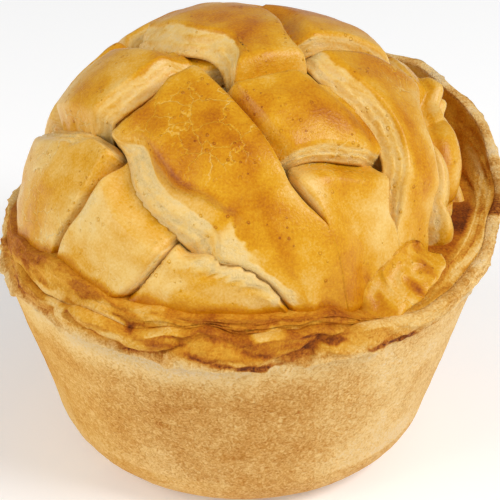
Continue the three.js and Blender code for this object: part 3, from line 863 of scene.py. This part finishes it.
def shape_strip(mesh, family, index, middle, width):
    """Lays the sheets of one strip over the dome: its glazed top with the cut sides, and its underside."""
    bake, craze, glaze = (mesh.verts.layers.float[layer] for layer in ("bake", "craze", "glaze"))
    below = mesh.verts.layers.int["below"]
    seed = 3.7 * index + (0 if family == "a" else 20)
    folded = (family, index) == ("a", 1)
    ends = []
    for step in range(END_STEPS + 1):
        across = middle + mix(-END_SPREAD, END_SPREAD, step / END_STEPS) * width / 2
        stop = TUCKED_END if (family, index) == ("b", 0) else strip_end(across, 1, family == "a")
        ends.append((strip_end(across, -1, family == "a"), stop))
    for vert in mesh.verts:
        u, s = vert.co.x, vert.co.y
        edge = (family, index, int(math.copysign(1, s)))
        run, fused, lap = 0.5, 0.0, 0.0
        for _ in range(2):
            v, up, down, inset = section(s, fused, run, lap, width / 2)
            spot = (v / END_SPREAD + 1) / 2 * END_STEPS
            step = max(0, min(int(spot), END_STEPS - 1))
            start = mix(ends[step][0], ends[step + 1][0], spot - step)
            stop = mix(ends[step][1], ends[step + 1][1], spot - step)
            along = mix(start, stop, (u + 1) / 2)
            run, fused, lap = cut_run(edge, along), fusing(edge, along), overlap(edge, along)
        across = middle + v * width / 2
        p, q = (across, along) if family == "a" else (along, across)
        low, cover, swell = strip_faces(family, index, p, q)
        plan = (*plan_of(p, q), 0)
        joined = fused * ease((abs(v) - 0.2) / 0.6)
        jag = splitting(edge, along) * ease((abs(v) - 0.75) / 0.25)
        p += jag * (1.2 * lump((along, 0, 0), 4, 3.3) + 1.0 * lump((along, 0, 0), 1.4, 1.9))
        own = 0.55 * lump(plan, 13, seed) + 0.24 * lump(plan, 5, seed + 2)
        shared = 0.55 * lump(plan, 13, 9.1) + 0.24 * lump(plan, 5, 4.6)
        puff = 0.5 * swell * (1 - v * v) + mix(own, shared, joined) + 0.06 * lump(plan, 2, 6.2) - 0.35
        fold = -30.6 + 0.2 * (along - 15) + 0.8 * lump((along, 0, 0), 5, 2.2)
        if folded:
            trough = ease((fold - across + 0.4) / 0.9) * ease((across - fold + 5.0) / 3)
            puff -= 1.7 * trough * swell_at(along, 27, 14) ** 0.7
        lobe, lobe_bake = lid_lobe(p, q) if family == "a" and index > 3 else (0.0, 0.0)
        from_end = (1 - abs(u)) * 60
        rounding = math.sqrt(max(0.0, 1 - max(0.0, 1 - from_end / END_ROUND) ** 2))
        high = low + (STRIP_THICK + (puff + lobe) * up) * rounding
        if cover is not None:
            high = min(high, cover - STRIP_GAP)
        cut, flakes, layer_tone = cut_layers(along, up, down, run, seed)
        cut *= 1 - fused
        lift = low
        if not vert[below]:
            torn_edge = 0.5 * lump(plan, 1.6, 4.7) + 0.4 * crag(plan, 2.2, 6.1) ** 2
            lift = mix(low, high, up) + cut * flakes + jag * up * torn_edge
        vert.co = dome_point(*laid_plan(p, q), lift)

        ragged = 2 + 3 * lump(plan, 4, 1.7) + 2 * lump(plan, 1.5, 5.2)
        split = splitting(edge, along) * ease(ragged - inset)
        brown = rim_brown(vert.co, plan)
        own = 0.16 * lump(plan, 9, seed + 5) + 0.1 * lump(plan, 3.5, seed + 8)
        shared = 0.16 * lump(plan, 9, 7.3) + 0.1 * lump(plan, 3.5, 2.2)
        # The top browns more high on the dome. Towards the left, on the fill light's side, it is painted a
        # little paler as painted light.
        top = 0.31 + 0.2 * ease((vert.co.z / MM - 54) / 30) - 0.05 * ease((-vert.co.x / MM - 4) / 24)
        top += 0.04 * swell * (1 - v * v) - 0.07 * ease(1 - inset / 3.5) * (1 - fused)
        top += mix(own, shared, joined) + oven_tone(p, q)
        if folded:
            crease = 0.2 * swell_at(across, fold + 0.2, 1.2) - 0.06 * swell_at(across, fold - 2.2, 2.2)
            top += crease * swell_at(along, 27, 14)
        top = mix(top, 0.06 + 0.12 * lump(plan, 1.2, 8.3), 0.85 * split)
        top = mix(top, lobe_bake + 0.16 * lump(plan, 4, 3.3), min(lobe, 1))
        top = mix(top, 0.57, brown)
        raw = ease((along - 12) / 8) if edge == ("a", 1, -1) else 0.0
        side = side_bake(vert.co, layer_tone, max(split, raw), brown)
        if edge == ("a", 5, -1):
            side += 0.34
        vert[bake] = mix(top, side, cut)
        vert[glaze] = 1.0
        if folded:
            vert[craze] = swell_at(along, 21, 16)
        if (family, index) == ("a", 3):
            vert[craze] = swell_at(along, 16, 14) * ease(v + 0.4)


glazed_crust = pastry_material("glazed_crust", 0.33, 0.24, 0.6, Mottle=0.34, Crumb_Size=700.0, Crumb=0.4,
                               Speck=0.8, Blisters=1.0, Cracks=1.0)
for family, strips in (("a", A_STRIPS), ("b", B_STRIPS)):
    for index, (middle, width) in enumerate(strips):
        strip_mesh = two_sheets()
        shape_strip(strip_mesh, family, index, middle, width)
        node = f"lid_strip_{family}{index + 1}"
        strip = finish_mesh(node + "_baked", strip_mesh, glazed_crust)
        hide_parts(node)

# Lid flap
# A leaf-shaped scrap of the same glazed pastry lies on the strip ends at the front right.
# It is baked on along its inner edge, and its outer edge is lifted and shows pale layers.
FLAP_FROM = -7.0
FLAP_TO = 21.0
FLAP_MIDDLE = 58.0
FLAP_SLANT = 0.6
FLAP_SLANT_FROM = 6.0
FLAP_HALF = 5.0
FLAP_OUTER_HALF = 3.5
FLAP_THICK = 2.8
FLAP_SINK = 0.3
FLAP_LIFT = 3.6
FLAP_CUT = 0.5
FLAP_SEED = 40.0

flap_mesh = two_sheets()
flap_bake = flap_mesh.verts.layers.float["bake"]
flap_glaze = flap_mesh.verts.layers.float["glaze"]
flap_below = flap_mesh.verts.layers.int["below"]
for vert in flap_mesh.verts:
    u, s = vert.co.x, vert.co.y
    v, up, down, _ = section(s, 0.0, FLAP_CUT, 0.0, FLAP_HALF)
    p = mix(FLAP_FROM, FLAP_TO, (u + 1) / 2)
    leaf = max(0.0, 1 - abs(u) ** 2.6) ** 0.55 * (1 + 0.14 * lump((p, 0, 0), 6, 1.3))
    q = FLAP_MIDDLE - FLAP_SLANT * (p - FLAP_SLANT_FROM)
    q += v * (FLAP_HALF if v < 0 else FLAP_OUTER_HALF) * leaf
    plan = (*plan_of(p, q), 0)
    low = underside(UNDER_FLAP_LEVEL) + STRIP_THICK - FLAP_SINK + FLAP_LIFT * ease((v + 0.7) / 1.7)
    thick = FLAP_THICK * (0.15 + 0.75 * ease((v + 1) / 1.8))
    puff = 0.7 * lump(plan, 4.5, 2.9) + 0.4 * crag(plan, 5, 1.2) ** 3 - 0.3
    high = low + (thick + puff * up) * min(1.0, (1 - abs(u)) * 7.5) ** 0.5
    cut, flakes, layer_tone = cut_layers(p, up, down, FLAP_CUT, FLAP_SEED)
    lift = low if vert[flap_below] else mix(low, high, up) + cut * flakes
    vert.co = dome_point(*plan_of(p, q), lift)
    brown = rim_brown(vert.co, plan)
    top = 0.36 + 0.5 * max(0.0, lump(plan, 4, 2.4)) + 0.1 * lump(plan, 1.5, 7.1)
    top += 0.08 * ease(-v - 0.2) - 0.14 * ease((v - 0.4) / 0.4)
    top = mix(top, 0.57, brown)
    side = top if v < 0 else side_bake(vert.co, layer_tone, 0.0, brown)
    vert[flap_bake] = mix(top, side, cut)
    vert[flap_glaze] = 1.0

lid_flap = finish_mesh("lid_flap_baked", flap_mesh, glazed_crust)
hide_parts("lid_flap")

# Floor, light and camera
# A pale seamless floor, a big soft light from the front right, a weaker one from the left
# and a bright surround, with the camera above the front rim.
floor_mesh = bmesh.new()
bmesh.ops.create_grid(floor_mesh, x_segments=1, y_segments=1, size=3)
floor_data = bpy.data.meshes.new("pale_floor")
floor_mesh.to_mesh(floor_data)
floor_mesh.free()
floor = bpy.data.objects.new("pale_floor", floor_data)
floor_paint = bpy.data.materials.new("pale_floor_paint")
floor_paint.use_nodes = True
paint = floor_paint.node_tree.nodes["Principled BSDF"].inputs
paint["Base Color"].default_value = (0.9, 0.9, 0.9, 1)
paint["Roughness"].default_value = 0.9
paint["Emission Color"].default_value = (1, 1, 1, 1)
paint["Emission Strength"].default_value = 0.18
floor_data.materials.append(floor_paint)
bpy.context.scene.collection.objects.link(floor)

surround = bpy.data.worlds.new("studio")
surround.use_nodes = True
surround.node_tree.nodes["Background"].inputs["Color"].default_value = (1, 1, 1, 1)
surround.node_tree.nodes["Background"].inputs["Strength"].default_value = 0.34
bpy.context.scene.world = surround
bpy.context.scene.view_settings.view_transform = "Standard"


def soft_light(name, place, power, size):
    lamp = bpy.data.lights.new(name, "AREA")
    lamp.energy = power
    lamp.size = size
    light = bpy.data.objects.new(name, lamp)
    light.location = place
    light.rotation_euler = (Vector((0, 0, 0.045)) - Vector(place)).to_track_quat("-Z", "Y").to_euler()
    bpy.context.scene.collection.objects.link(light)


soft_light("key_light", (0.55, -0.32, 0.64), 5.4, 0.34)
soft_light("fill_light", (-0.65, -0.3, 0.42), 3.3, 0.6)

camera_data = bpy.data.cameras.new("camera")
camera_data.lens = 144
camera_data.sensor_width = 36
camera_data.shift_x = 0.0156
camera_data.shift_y = 0.015
camera = bpy.data.objects.new("camera", camera_data)
camera_rise = math.radians(31)
aim = Vector((0, 0, 0.036))
camera.location = aim + 0.38 * Vector((0, -math.cos(camera_rise), math.sin(camera_rise)))
camera.rotation_euler = (aim - camera.location).to_track_quat("-Z", "Y").to_euler()
bpy.context.scene.collection.objects.link(camera)
bpy.context.scene.camera = camera
